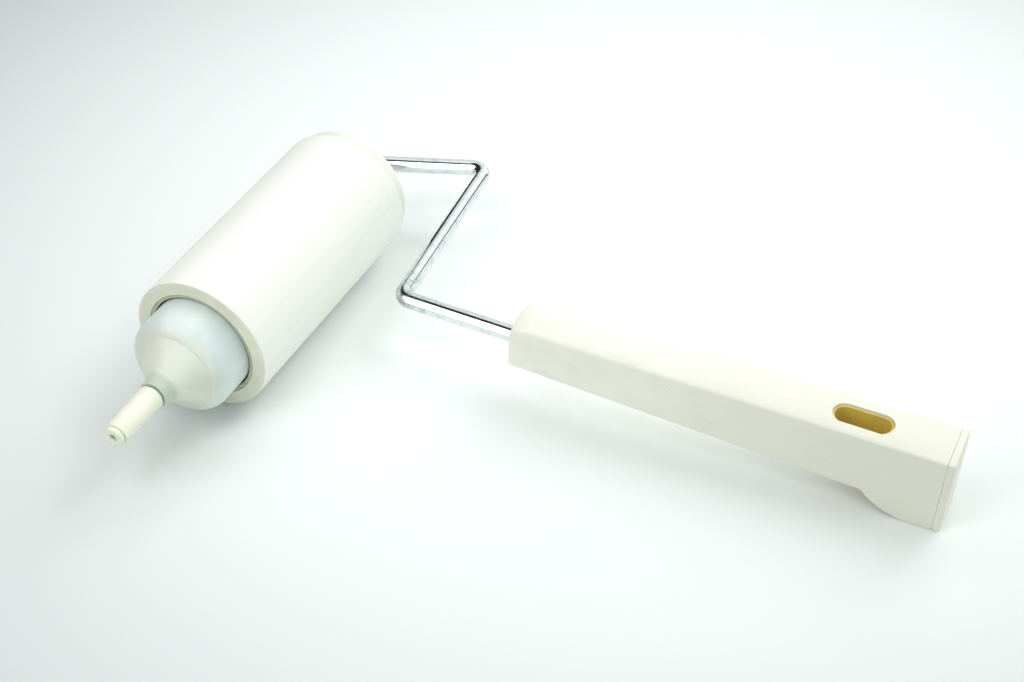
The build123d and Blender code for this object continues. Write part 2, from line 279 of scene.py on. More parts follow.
# Patterns are laid out by a Mapping of type TEXTURE: Location is the pattern's middle, Scale the
# size of its lumps in metres along each axis, Rotation the turn of those axes. PATTERN, EASED and
# BLENDED are the fixed settings of the three nodes that every material uses.
PATTERN = {"kind": "ShaderNodeMapping", "vector_type": "TEXTURE"}
EASED = {"kind": "ShaderNodeMapRange", "interpolation_type": "SMOOTHSTEP"}
BLENDED = {"kind": "ShaderNodeMix", "give": 2, "data_type": "RGBA"}
ROLL_CENTRE = (AXIS_X * MM, AXIS_Y * MM, AXIS_Z * MM)
HANDLE_AXES = (0.0, TILT, HANDLE_TURN)


# ---- materials ------------------------------------------------------------------------
def adhesive_paper():
    """Bleached kraft paper coated with clear acrylic adhesive, wound tacky side out.

    The coating levels the fibres, so it reads as a soft satin white, with long faint wrinkles
    where the web was stretched along the roll, and a patch of small dents from handling.
    """
    made, tree, spot = blank("adhesive_coated_paper")
    along_roll = add(tree, **PATTERN, Vector=spot, Location=ROLL_CENTRE, Scale=(0.0026, 0.085, 0.0026))
    wrinkle = add(tree, "ShaderNodeTexNoise", Vector=along_roll, Scale=1.0, Detail=2.0)
    broad = add(tree, **PATTERN, Vector=spot, Location=ROLL_CENTRE, Scale=(0.022, 0.022, 0.022))
    blotch = add(tree, "ShaderNodeTexNoise", Vector=broad, Scale=1.0, Detail=2.0)
    fine = add(tree, **PATTERN, Vector=spot, Scale=(0.0005, 0.0005, 0.0005))
    fibre = add(tree, "ShaderNodeTexNoise", Vector=fine, Scale=1.0, Detail=2.0)
    patch_middle = ((AXIS_X + HANDLED_SPOT[0]) * MM, (AXIS_Y + HANDLED_SPOT[1]) * MM,
                    (AXIS_Z + HANDLED_SPOT[2]) * MM)
    patch = add(tree, **PATTERN, Vector=spot, Location=patch_middle, Scale=(0.012, 0.012, 0.012))
    from_patch = add(tree, "ShaderNodeVectorMath", "Value", operation="LENGTH", in_0=patch)
    handled = add(tree, **EASED, in_0=from_patch, in_1=0.4, in_2=1.0, in_3=1.0, in_4=0.0)
    small = add(tree, **PATTERN, Vector=spot, Scale=(0.0022, 0.0034, 0.0022))
    lumps = add(tree, "ShaderNodeTexNoise", Vector=small, Scale=1.0, Detail=1.0)
    dent = add(tree, **EASED, in_0=lumps, in_1=0.54, in_2=0.68)
    dent = add(tree, "ShaderNodeMath", operation="MULTIPLY", in_0=dent, in_1=handled)
    tone = add(tree, **BLENDED, in_0=blotch, in_6=colour("#F1F3EA"), in_7=colour("#ECEFE6"))
    streak = add(tree, **EASED, in_0=wrinkle, in_1=0.3, in_2=0.7, in_3=0.0, in_4=0.3)
    tone = add(tree, **BLENDED, in_0=streak, in_6=tone, in_7=colour("#E6E9E0"))
    relief = add(tree, "ShaderNodeBump", Height=wrinkle, Distance=0.09 * MM)
    relief = add(tree, "ShaderNodeBump", Height=dent, Distance=-0.12 * MM, Normal=relief)
    relief = add(tree, "ShaderNodeBump", Height=fibre, Distance=0.012 * MM, Normal=relief)
    rough = add(tree, **EASED, in_0=blotch, in_1=0.3, in_2=0.7, in_3=0.42, in_4=0.52)
    skin = add(tree, "ShaderNodeBsdfPrincipled", Base_Color=tone, Roughness=rough, IOR=1.48,
               Normal=relief)
    add(tree, "ShaderNodeOutputMaterial", Surface=skin)
    return made


def wound_edge():
    """The cut edges of the wound sheets: creamier than the face, with rings where layers differ.

    The layers are 0.1 mm thick; the rings are drawn 0.5 mm apart so that they show.
    """
    made, tree, spot = blank("wound_sheet_edges")
    flat = add(tree, **PATTERN, Vector=spot, Location=ROLL_CENTRE, Scale=(0.0005, 1000.0, 0.0005))
    ring_number = add(tree, "ShaderNodeVectorMath", "Value", operation="LENGTH", in_0=flat)
    broad = add(tree, **PATTERN, Vector=spot, Scale=(0.009, 0.009, 0.009))
    wander = add(tree, "ShaderNodeTexNoise", Vector=broad, Scale=1.0, Detail=2.0)
    shifted = add(tree, "ShaderNodeMath", operation="MULTIPLY_ADD", in_0=wander, in_1=0.6,
                  in_2=ring_number)
    rings = add(tree, "ShaderNodeTexNoise", noise_dimensions="1D", W=shifted, Scale=1.0, Detail=2.0,
                Roughness=0.7)
    tone = add(tree, **EASED, in_0=rings, in_1=0.3, in_2=0.7)
    tone = add(tree, **BLENDED, in_0=tone, in_6=colour("#DCDEC8"), in_7=colour("#E7E9D8"))
    soiled = add(tree, **EASED, in_0=wander, in_1=0.35, in_2=0.7, in_3=0.0, in_4=0.35)
    tone = add(tree, **BLENDED, in_0=soiled, in_6=tone, in_7=colour("#CFD0B8"))
    relief = add(tree, "ShaderNodeBump", Height=rings, Distance=0.08 * MM)
    skin = add(tree, "ShaderNodeBsdfPrincipled", Base_Color=tone, Roughness=0.7, IOR=1.48,
               Normal=relief)
    add(tree, "ShaderNodeOutputMaterial", Surface=skin)
    return made


def card():
    """Spiral-wound grey-green card: rough and matt, its fibres drawn 0.6 mm long."""
    made, tree, spot = blank("spiral_wound_card")
    fine = add(tree, **PATTERN, Vector=spot, Scale=(0.0006, 0.0006, 0.0006))
    fibre = add(tree, "ShaderNodeTexNoise", Vector=fine, Scale=1.0, Detail=3.0)
    tone = add(tree, **EASED, in_0=fibre, in_1=0.3, in_2=0.7)
    tone = add(tree, **BLENDED, in_0=tone, in_6=colour("#A9AA94"), in_7=colour("#C6C6B0"))
    relief = add(tree, "ShaderNodeBump", Height=fibre, Distance=0.03 * MM)
    skin = add(tree, "ShaderNodeBsdfPrincipled", Base_Color=tone, Roughness=0.85, IOR=1.46,
               Normal=relief)
    add(tree, "ShaderNodeOutputMaterial", Surface=skin)
    return made


def frosted_core():
    """Natural polypropylene, injection moulded with a spark-eroded frosted face.

    Unpigmented, so light goes a little way into the wall (subsurface scattering). The neck is painted
    darker: painted shade where its thick wall lets less light through.
    """
    made, tree, spot = blank("frosted_natural_polypropylene")
    broad = add(tree, **PATTERN, Vector=spot, Location=ROLL_CENTRE, Scale=(0.011, 0.018, 0.011))
    cloud = add(tree, "ShaderNodeTexNoise", Vector=broad, Scale=1.0, Detail=2.0)
    fine = add(tree, **PATTERN, Vector=spot, Scale=(0.00035, 0.00035, 0.00035))
    grit = add(tree, "ShaderNodeTexNoise", Vector=fine, Scale=1.0, Detail=2.0)
    along_roll = add(tree, "ShaderNodeSeparateXYZ", "Y", Vector=spot)
    cone = add(tree, **EASED, in_0=along_roll, in_1=(AXIS_Y + SHOULDER_Y - 1) * MM,
               in_2=(AXIS_Y + SHOULDER_Y - 7) * MM)
    # painted shade: the neck is painted darker where its thick wall lets less light through
    neck = add(tree, **EASED, in_0=along_roll, in_1=(AXIS_Y + NECK_ROOT_Y + 1.2) * MM,
               in_2=(AXIS_Y + NECK_ROOT_Y - 0.6) * MM)
    clear = add(tree, **EASED, in_0=cloud, in_1=0.35, in_2=0.65)
    barrel_tone = add(tree, **BLENDED, in_0=clear, in_6=colour("#D0DEDC"), in_7=colour("#DCE7E4"))
    cone_tone = add(tree, **BLENDED, in_0=clear, in_6=colour("#D6DACB"), in_7=colour("#DFE4D6"))
    tone = add(tree, **BLENDED, in_0=cone, in_6=barrel_tone, in_7=cone_tone)
    tone = add(tree, **BLENDED, in_0=neck, in_6=tone, in_7=colour("#C3CDBE"))
    relief = add(tree, "ShaderNodeBump", Height=grit, Distance=0.012 * MM)
    skin = add(tree, "ShaderNodeBsdfPrincipled", Base_Color=tone, Roughness=0.46, IOR=1.49,
               Subsurface_Weight=0.3, Subsurface_Radius=(1.0, 1.0, 0.9), Subsurface_Scale=1.6 * MM,
               Normal=relief)
    add(tree, "ShaderNodeOutputMaterial", Surface=skin)
    return made


def moulded_plastic(name, base, shade, rough, texture, depth):
    """A pigmented moulding: colour that drifts slightly over 12 mm, under a fine tool texture.

    texture is the size of the texture's grains and depth their height, both in millimetres.
    """
    made, tree, spot = blank(name)
    broad = add(tree, **PATTERN, Vector=spot, Scale=(0.012, 0.012, 0.012))
    drift = add(tree, "ShaderNodeTexNoise", Vector=broad, Scale=1.0, Detail=2.0)
    fine = add(tree, **PATTERN, Vector=spot, Scale=[texture * MM] * 3)
    grain = add(tree, "ShaderNodeTexNoise", Vector=fine, Scale=1.0, Detail=2.0)
    tone = add(tree, **EASED, in_0=drift, in_1=0.35, in_2=0.65)
    tone = add(tree, **BLENDED, in_0=tone, in_6=colour(base), in_7=colour(shade))
    worn = add(tree, **EASED, in_0=drift, in_1=0.3, in_2=0.7, in_3=rough - 0.04, in_4=rough + 0.04)
    relief = add(tree, "ShaderNodeBump", Height=grain, Distance=depth * MM)
    skin = add(tree, "ShaderNodeBsdfPrincipled", Base_Color=tone, Roughness=worn, IOR=1.53,
               Normal=relief)
    add(tree, "ShaderNodeOutputMaterial", Surface=skin)
    return made


def bright_chrome():
    """Steel wire, nickel and chrome plated: a cold mirror that has pitted with age.

    Fine mottled pitting, drawn 0.35 mm across, gathers in patches along the wire and by the near
    bend, where the plating was strained, with a dull haze round it and a few black specks.
    """
    made, tree, spot = blank("chrome_plated_steel")
    near_bend = ((AXIS_X + NEAR_CORNER[0]) * MM, (AXIS_Y + NEAR_CORNER[1]) * MM,
                 (AXIS_Z - NEAR_CORNER[0] * math.sin(TILT)) * MM)
    by_bend = add(tree, **PATTERN, Vector=spot, Location=near_bend, Scale=(0.011, 0.011, 0.011))
    from_bend = add(tree, "ShaderNodeVectorMath", "Value", operation="LENGTH", in_0=by_bend)
    strained = add(tree, **EASED, in_0=from_bend, in_1=0.5, in_2=1.6, in_3=0.2, in_4=0.0)
    middling = add(tree, **PATTERN, Vector=spot, Scale=(0.0035, 0.0035, 0.0035))
    patch = add(tree, "ShaderNodeTexNoise", Vector=middling, Scale=1.0, Detail=3.0, Roughness=0.6)
    fine = add(tree, **PATTERN, Vector=spot, Scale=(0.00035, 0.00035, 0.00035))
    mottle = add(tree, "ShaderNodeTexNoise", Vector=fine, Scale=1.0, Detail=3.0, Roughness=0.7)
    worn = add(tree, "ShaderNodeMath", operation="ADD", in_0=patch, in_1=strained)
    pitted = add(tree, "ShaderNodeMath", operation="MULTIPLY_ADD", in_0=worn, in_1=0.55, in_2=mottle)
    pit = add(tree, **EASED, in_0=pitted, in_1=0.86, in_2=1.0)
    speck = add(tree, **EASED, in_0=pitted, in_1=1.0, in_2=1.06)
    haze = add(tree, **EASED, in_0=worn, in_1=0.42, in_2=0.72)
    tone = add(tree, **BLENDED, in_0=haze, in_6=colour("#E6ECEC"), in_7=colour("#DBE2E3"))
    tone = add(tree, **BLENDED, in_0=pit, in_6=tone, in_7=colour("#B9C0C0"))
    tone = add(tree, **BLENDED, in_0=speck, in_6=tone, in_7=colour("#3C4042"))
    rough = add(tree, **EASED, in_0=worn, in_1=0.4, in_2=0.8, in_3=0.03, in_4=0.09)
    rough = add(tree, "ShaderNodeMath", operation="MULTIPLY_ADD", in_0=pit, in_1=0.16, in_2=rough)
    relief = add(tree, "ShaderNodeBump", Height=pit, Distance=-0.006 * MM)
    skin = add(tree, "ShaderNodeBsdfPrincipled", Base_Color=tone, Metallic=1.0, Roughness=rough,
               Normal=relief)
    add(tree, "ShaderNodeOutputMaterial", Surface=skin)
    return made


def handle_abs():
    """Cream ABS, moulded in a polished tool and long handled: satin, with faint rubs and hairlines.

    Rubs are greyer and duller, and hairlines run along the handle. Towards the heel the cream is
    painted a little darker and yellower: painted shade for the light that falls off there.
    """
    made, tree, spot = blank("cream_abs_polished")
    broad = add(tree, **PATTERN, Vector=spot, Scale=(0.03, 0.03, 0.03))
    drift = add(tree, "ShaderNodeTexNoise", Vector=broad, Scale=1.0, Detail=2.0)
    long_lumps = add(tree, **PATTERN, Vector=spot, Rotation=HANDLE_AXES, Scale=(0.016, 0.005, 0.005))
    rub = add(tree, "ShaderNodeTexNoise", Vector=long_lumps, Scale=1.0, Detail=4.0, Roughness=0.6)
    lines = add(tree, **PATTERN, Vector=spot, Rotation=HANDLE_AXES, Scale=(0.016, 0.0005, 0.0005))
    hair = add(tree, "ShaderNodeTexNoise", Vector=lines, Scale=1.0, Detail=2.0)
    fine = add(tree, **PATTERN, Vector=spot, Scale=(0.00045, 0.00045, 0.00045))
    texture = add(tree, "ShaderNodeTexNoise", Vector=fine, Scale=1.0, Detail=2.0)
    sparse = add(tree, **PATTERN, Vector=spot, Scale=(0.014, 0.014, 0.014))
    from_speck = add(tree, "ShaderNodeTexVoronoi", "Distance", Vector=sparse, Scale=1.0)
    rearward = add(tree, "ShaderNodeSeparateXYZ", "X", Vector=spot)
    # painted shade: the cream is painted darker towards the heel, where the light falls off
    heel_falloff_shade = add(tree, **EASED, in_0=rearward, in_1=(AXIS_X + 120) * MM, in_2=(AXIS_X + 255) * MM)
    tone = add(tree, **EASED, in_0=drift, in_1=0.35, in_2=0.65)
    tone = add(tree, **BLENDED, in_0=tone, in_6=colour("#F1F2E6"), in_7=colour("#EDEEE1"))
    tone = add(tree, **BLENDED, in_0=heel_falloff_shade, in_6=tone, in_7=colour("#E4E5D6"))
    rubbed = add(tree, **EASED, in_0=rub, in_1=0.5, in_2=0.75, in_3=0.0, in_4=0.3)
    tone = add(tree, **BLENDED, in_0=rubbed, in_6=tone, in_7=colour("#D6D8C9"))
    speck = add(tree, **EASED, in_0=from_speck, in_1=0.018, in_2=0.03, in_3=0.35, in_4=0.0)
    tone = add(tree, **BLENDED, in_0=speck, in_6=tone, in_7=colour("#A3A08C"))
    rough = add(tree, **EASED, in_0=rub, in_1=0.4, in_2=0.75, in_3=0.34, in_4=0.46)
    relief = add(tree, "ShaderNodeBump", Height=hair, Distance=0.01 * MM)
    relief = add(tree, "ShaderNodeBump", Height=texture, Distance=0.006 * MM, Normal=relief)
    skin = add(tree, "ShaderNodeBsdfPrincipled", Base_Color=tone, Roughness=rough, IOR=1.53,
               Normal=relief)
    add(tree, "ShaderNodeOutputMaterial", Surface=skin)
    return made


def zinc_washer():
    """Stamped steel, zinc plated: a dull blue-grey metal whose shine drifts over half a millimetre."""
    made, tree, spot = blank("zinc_plated_washer")
    fine = add(tree, **PATTERN, Vector=spot, Scale=(0.0006, 0.0006, 0.0006))
    grain = add(tree, "ShaderNodeTexNoise", Vector=fine, Scale=1.0, Detail=3.0)
    rough = add(tree, **EASED, in_0=grain, in_1=0.3, in_2=0.7, in_3=0.25, in_4=0.4)
    skin = add(tree, "ShaderNodeBsdfPrincipled", Base_Color=colour("#A9ACAC"), Metallic=1.0,
               Roughness=rough)
    add(tree, "ShaderNodeOutputMaterial", Surface=skin)
    return made


PAPER = adhesive_paper()
PAPER_EDGE = wound_edge()
CARD = card()
FROSTED = frosted_core()
FLANGE_CREAM = moulded_plastic("cream_polypropylene", "#E9EBE2", "#E2E5DA", 0.42, 0.5, 0.008)
NOSE_CREAM = moulded_plastic("cream_nose_abs", "#EDF0DF", "#E6EAD6", 0.36, 0.5, 0.008)
LINER_YELLOW = moulded_plastic("ochre_polypropylene", "#D9C25E", "#CFB856", 0.5, 0.5, 0.01)
BUSH_POM = moulded_plastic("natural_acetal", "#E9E9E4", "#E3E4DE", 0.35, 0.4, 0.004)
INSERT_GREY = moulded_plastic("grey_insert_abs", "#8E918D", "#868985", 0.5, 0.5, 0.01)
CHROME = bright_chrome()
HANDLE_CREAM = handle_abs()
WASHER_STEEL = zinc_washer()


# ---- the roller -----------------------------------------------------------------------
def paper_refill():
    """The wound sheets: a ring with eased rims, its outside a shallow spiral with one ledge."""
    corners = [(CARD_OUTER, -ROLL_HALF, 0.25), (ROLL_RADIUS, -ROLL_HALF, 0.9),
               (ROLL_RADIUS, ROLL_HALF, 0.9), (CARD_OUTER, ROLL_HALF, 0.25)]
    outline = eased(corners)
    segments = 240
    flat = np.abs(outline[:, 1] + np.roll(outline[:, 1], -1)) / 2 > ROLL_HALF - 0.35
    inner = outline[:, 0] + np.roll(outline[:, 0], -1) < 2 * (CARD_OUTER + 0.5)
    finish = np.repeat((flat | inner).astype(int)[:, None], segments, 1)
    block = turned(outline, segments, start=SHEET_EDGE, ledge=SHEET_STEP, finish=finish)
    make_piece("paper_refill", [block], [PAPER, PAPER_EDGE], "refill", "paper_roll")


def card_sleeve():
    """The card tube, its ends a hair inside the paper's, with eased lips."""
    end = ROLL_HALF - 0.25
    corners = [(CARD_INNER, -end, 0.3), (CARD_OUTER, -end, 0.35),
               (CARD_OUTER, end, 0.35), (CARD_INNER, end, 0.3)]
    make_piece("card_sleeve", [turned(eased(corners))], [CARD], "refill", "card_tube")


def core_moulding():
    """Barrel, rounded shoulder with a crease where the cone starts, cone, neck; hollow inside."""
    bend = CORE_RADIUS - SHOULDER_ROUND
    sweep = math.radians(SHOULDER_SWEEP)
    inner_round = SHOULDER_ROUND - CORE_WALL
    crease = (bend + SHOULDER_ROUND * math.cos(sweep), SHOULDER_Y - SHOULDER_ROUND * math.sin(sweep))

    def shoulder(radius, last_angle):
        angle = np.linspace(0, last_angle, 18)
        return np.stack([bend + radius * np.cos(angle), SHOULDER_Y - radius * np.sin(angle)], 1)

    outside = np.concatenate([
        [(CORE_RADIUS, FLANGE_FACE), (CORE_RADIUS, SHOULDER_Y + 2)],
        shoulder(SHOULDER_ROUND, sweep),
        eased([(*crease, 0.1), (NECK_RADIUS + NECK_TAPER, NECK_ROOT_Y, NECK_ROUND),
               (NECK_RADIUS, NECK_FRONT_Y, 0.1)], closed=False)[1:-1],
        [(NECK_RADIUS, NECK_FRONT_Y + 0.4), (NECK_RADIUS - 0.1, NECK_FRONT_Y + 0.1),
         (NECK_RADIUS - 0.35, NECK_FRONT_Y)]])
    inside = np.concatenate([
        [(BUSH_RADIUS, NECK_FRONT_Y), (BUSH_RADIUS, BUSH_SEAT_Y), (BUSH_COLLAR, BUSH_SEAT_Y)],
        shoulder(inner_round, sweep)[::-1],
        [(CORE_RADIUS - CORE_WALL, FLANGE_FACE)]])
    make_piece("core_moulding", [turned(np.concatenate([outside, inside]))], [FROSTED], "core",
               "roller_core", crease=20.0)


def stop_flange():
    """The dished flange behind the roll, with its hub and the spigot that plugs the core."""
    bore = SPIGOT_RADIUS - 1.6
    corners = [(bore, SPIGOT_FRONT, 0.3), (SPIGOT_RADIUS, SPIGOT_FRONT, 0.5),
               (SPIGOT_RADIUS, FLANGE_FACE, 0.1), (FLANGE_RADIUS, FLANGE_FACE, 0.5),
               (FLANGE_RADIUS, FLANGE_BACK, 2.6), (FLANGE_RADIUS - 3.6, FLANGE_BACK, 0.6),
               (FLANGE_RADIUS - 4.4, FLANGE_WEB_Y, 0.8), (HUB_RADIUS + 1.0, FLANGE_WEB_Y, 0.8),
               (HUB_RADIUS, FLANGE_BACK, 0.5), (BUSH_RADIUS, FLANGE_BACK, 0.1),
               (BUSH_RADIUS, SPIGOT_FRONT, 0.1), (HUB_RADIUS, SPIGOT_FRONT, 0.4),
               (HUB_RADIUS, FLANGE_FACE, 0.6), (bore, FLANGE_FACE, 0.6)]
    make_piece("stop_flange", [turned(eased(corners))], [FLANGE_CREAM], "core",
               "flange_plug")


def wire_collar():
    """The ring pressed on the wire behind the core, turned with eased rims."""
    low, high = COLLAR_Y
    corners = [(WIRE_RADIUS, low, 0.1), (COLLAR_RADIUS, low, 0.3), (COLLAR_RADIUS, high, 0.8),
               (WIRE_RADIUS, high, 0.1)]
    make_piece("wire_collar", [turned(eased(corners), 96)], [CHROME], "frame",
               "stop_collar")


def nose():
    """The tapered tube on the wire's front end, and its end plug with a small hole."""
    tube = [(WIRE_RADIUS, NOSE_ROOT_Y, 0.1), (NOSE_RADIUS, NOSE_ROOT_Y, 0.35),
            (NOSE_TIP_RADIUS, NOSE_TIP_Y, 0.45), (WIRE_RADIUS, NOSE_TIP_Y, 0.1)]
    make_piece("nose_sleeve", [turned(eased(tube), 120)], [NOSE_CREAM], "frame",
               "nose_tube")
    groove = NOSE_TIP_Y - 0.35
    plug = [(PLUG_HOLE, PLUG_FRONT_Y, 0.25), (PLUG_RADIUS, PLUG_FRONT_Y, 0.55),
            (PLUG_RADIUS, groove, 0.1), (PLUG_RADIUS - 0.35, groove, 0.05),
            (PLUG_RADIUS - 0.35, NOSE_TIP_Y, 0.05), (WIRE_RADIUS, NOSE_TIP_Y, 0.05),
            (WIRE_RADIUS, WIRE_FRONT_Y, 0.1), (PLUG_HOLE, WIRE_FRONT_Y, 0.1)]
    make_piece("nose_end_plug", [turned(eased(plug), 120)], [NOSE_CREAM], "frame",
               "nose_plug")


# ---- the wire -------------------------------------------------------------------------
def bent_wire():
    """One round wire: a circle carried along straight runs joined by arcs, chamfered at its ends.

    Each ring is the path's point + radius (cos a * side + sin a * up), side square to the path
    in the wire's plane.
    """
    turn_x, turn_y = math.cos(HANDLE_TURN), math.sin(HANDLE_TURN)
    end = (NEAR_CORNER[0] + SHANK_END * turn_x, NEAR_CORNER[1] + SHANK_END * turn_y)
    route = [(0, WIRE_FRONT_Y, 0)] + [(*corner, bend) for corner, bend in
                                      zip((REAR_CORNER, FAR_CORNER, NEAR_CORNER), CORNER_BENDS)]
    line = eased(route + [(*end, 0)], closed=False, steps=22)
    step = np.diff(line, axis=0)
    step /= np.linalg.norm(step, axis=1, keepdims=True)
    along_line = np.concatenate([step[:1], step[:-1] + step[1:], step[-1:]])
    along_line /= np.linalg.norm(along_line, axis=1, keepdims=True)
    ease = 0.4
    centres = np.concatenate([line[:1], line[:1], line[:1] + along_line[:1] * ease, line[1:-1],
                              line[-1:] - along_line[-1:] * ease, line[-1:], line[-1:]])
    heading = np.concatenate([along_line[[0, 0]], along_line, along_line[[-1, -1]]])
    radius = np.full(len(centres), WIRE_RADIUS)
    radius[[0, -1]] = 0
    radius[[1, -2]] = WIRE_RADIUS - ease
    angle = np.linspace(0, 2 * math.pi, 64, endpoint=False)
    side = np.stack([heading[:, 1], -heading[:, 0]], 1)
    rings = centres[:, None] + (radius[:, None] * np.cos(angle))[..., None] * side[:, None]
    up = radius[:, None] * np.sin(angle)
    points = on_wire_plane(np.concatenate([rings, up[..., None]], -1))
    make_piece("bent_wire", [sheet(points, close_columns=True)], [CHROME], "frame",
               "wire_frame")


# ---- the handle -----------------------------------------------------------------------
TOP_POINTS = 41
ARC_POINTS = 7
SIDE_POINTS = 7


def taper(x, front_value, rear_value):
    """A handle dimension at x, changing evenly from the front face to the rear face."""
    return front_value + (rear_value - front_value) * (x - FRONT_X) / (REAR_X - FRONT_X)


def heel_drop(u):
    """Share of the heel's drop at share u of its run: two cubic pieces meeting half way."""
    start, middle, end = HEEL_SLOPES

    def cubic(t, a, b, slope_a, slope_b):
        return ((1 + 2 * t) * (1 - t) ** 2 * a + t * t * (3 - 2 * t) * b
                + 0.5 * (t * (1 - t) ** 2 * slope_a - t * t * (1 - t) * slope_b))

    first = cubic(np.clip(2 * u, 0, 1), 0, HEEL_BELLY, start, middle)
    second = cubic(np.clip(2 * u - 1, 0, 1), HEEL_BELLY, 1, middle, end)
    return np.where(u < 0.5, first, second)


def table_height(x):
    """Height of the table under the handle's own frame at x."""
    return ((NEAR_CORNER[0] + x * math.cos(HANDLE_TURN)) * math.sin(TILT) - AXIS_Z) / math.cos(TILT)


def underside(x, inset):
    """Lowest line of the handle at x: straight, then the heel's curve, then flat on the table."""
    straight = taper(np.minimum(x - inset, HEEL_START), FRONT_BOTTOM, REAR_BOTTOM)
    drop = HEEL_DROP * heel_drop(np.clip((x - inset - HEEL_START) / HEEL_RUN, 0, 1))
    line, table = straight - drop, table_height(x)
    blend = 0.25        # soft corner between the heel's curve and the sole
    higher = 0.5 * (line + table + np.sqrt((line - table) ** 2 + blend ** 2))
    return np.where(line > table + 4 * blend, line, higher) + inset


def side_edge(x):
    """Height of the upper side edges: an even taper, rounded down over the front face."""
    return taper(x, FRONT_TOP, REAR_TOP) - quarter_draw(x - FRONT_X, NOSE_DROP)


def crown(x, y, half):
    """Lift of the top at (x, y): full along the middle line, nothing at the half width."""
    return taper(x, FRONT_CROWN, REAR_CROWN) * (1 - (y / half) ** 2)


def section(x, inset=0.0):
    """The handle's closed outline at each x, drawn in by inset, as (x, y, z) by station and point.

    A box with rounded corners, its top lifted by a crown of 1 - (y / half width)^2. Points go
    along the top, down one side, back under the bottom and up the other side.
    """
    x = np.atleast_1d(np.asarray(x, float))[:, None]
    inset = np.broadcast_to(np.asarray(inset, float), (len(x),)).reshape(-1, 1)
    half = taper(x, FRONT_WIDTH, REAR_WIDTH) / 2 - inset
    top = side_edge(x) - inset
    low = underside(x, inset)
    round_top = np.maximum(taper(x, FRONT_SHOULDER, REAR_SHOULDER) - 0.5 * inset, 0.35)
    round_low = np.maximum(UNDERSIDE_ROUND - 0.5 * inset, 0.35) + 0 * x
    arc = np.linspace(0, math.pi / 2, ARC_POINTS)[1:]
    across = np.linspace(1, -1, TOP_POINTS)
    down = np.concatenate([[0.04], np.linspace(0.2, 0.8, SIDE_POINTS - 3), [0.96, 1.0]])

    y_top = across * (half - round_top)
    y_arc = -(half - round_top) - round_top * np.sin(arc)
    z_arc = top - round_top * (1 - np.cos(arc))
    z_side = (top - round_top) * (1 - down) + (low + round_low) * down
    y_low = -(half - round_low) - round_low * np.cos(arc)
    z_low = low + round_low * (1 - np.sin(arc))
    y_bottom = -across * (half - round_low)
    ones = np.ones_like
    y = np.concatenate([y_top, y_arc, -half * ones(z_side), y_low, y_bottom[:, 1:],
                        -y_low[:, ::-1][:, 1:], half * ones(z_side), -y_arc[:, ::-1]], 1)
    z = np.concatenate([top * ones(y_top), z_arc, z_side, z_low, low * ones(y_bottom[:, 1:]),
                        z_low[:, ::-1][:, 1:], z_side[:, ::-1], z_arc[:, ::-1]], 1)
    upper = np.concatenate([ones(y_top), ones(y_arc), 0 * z_side, 0 * y_low, 0 * y_bottom[:, 1:],
                            0 * y_low[:, 1:], 0 * z_side, ones(y_arc)], 1)
    z = z + upper * crown(x, y, half)
    return np.stack([np.broadcast_to(x, y.shape), y, z], -1)


def quarter_draw(distance, radius):
    """How far a quarter round of that radius has drawn in, distance along from its tight end."""
    left = np.clip(radius - distance, 0, radius)
    return radius - np.sqrt(radius ** 2 - left ** 2)


BOTTOM_FIRST = TOP_POINTS + (ARC_POINTS - 1) + SIDE_POINTS + (ARC_POINTS - 1) - 1
HOLE_FIRST, HOLE_LAST = 7, TOP_POINTS - 8       # points of the top run that the hole's patch spans
PATCH_X = (SLOT_CENTRE - SLOT_LENGTH / 2 - PATCH_MARGIN, SLOT_CENTRE + SLOT_LENGTH / 2 + PATCH_MARGIN)


def stations():
    """Places along the shell: close at the rounded front, over the hole, the heel and the seam."""
    front = FRONT_X + FRONT_ROUND * (1 - np.cos(np.linspace(0, math.pi / 2, 9)))
    seam = SEAM_X - SEAM_EASE * (1 - np.sin(np.linspace(0, math.pi / 2, 5)))
    return np.concatenate([
        front, [FRONT_X + FRONT_ROUND + 0.6], np.linspace(FRONT_X + 8, PATCH_X[0] - 4, 20),
        np.linspace(PATCH_X[0], PATCH_X[1], 25), np.linspace(PATCH_X[1] + 0.9, SEAM_X - 0.8, 22), seam])


def patch_loop(grid, low, high, first, last):
    """The grid's points round a patch, in order: along one station, down the run, and back."""
    return np.concatenate([grid[low, first:last], grid[low:high, last],
                           grid[high, last:first:-1], grid[high:low:-1, first]])


def oval_loop(loop, grow):
    """The hang hole's outline with one point for each point of a patch's edge.

    The patch's long sides go to the straight sides, its short sides round the half circles.
    """
    x, y = loop[:, 0] - SLOT_CENTRE, loop[:, 1] - SLOT_SIDE
    half_x = np.abs(x).max()
    straight, radius = (SLOT_LENGTH - SLOT_WIDTH) / 2, SLOT_WIDTH / 2 + grow
    on_end = np.abs(x) > half_x - 1e-6
    reach = np.where(y < 0, -y[on_end].min(), y[on_end].max())
    angle = np.clip(y / reach, -1, 1) * math.pi / 2
    end_x = np.sign(x) * (straight + radius * np.cos(angle))
    side_x = x / half_x * straight
    oval_x = np.where(on_end, end_x, side_x)
    oval_y = np.where(on_end, radius * np.sin(angle), np.sign(y) * radius)
    return np.stack([oval_x + SLOT_CENTRE, oval_y + SLOT_SIDE], -1)


def face_height(x, y, inset, over):
    """Height of the handle's top (over) or underside at (x, y), drawn in by inset."""
    half = taper(x, FRONT_WIDTH, REAR_WIDTH) / 2 - inset
    if over:
        return side_edge(x) - inset + crown(x, y, half)
    return underside(x, inset)


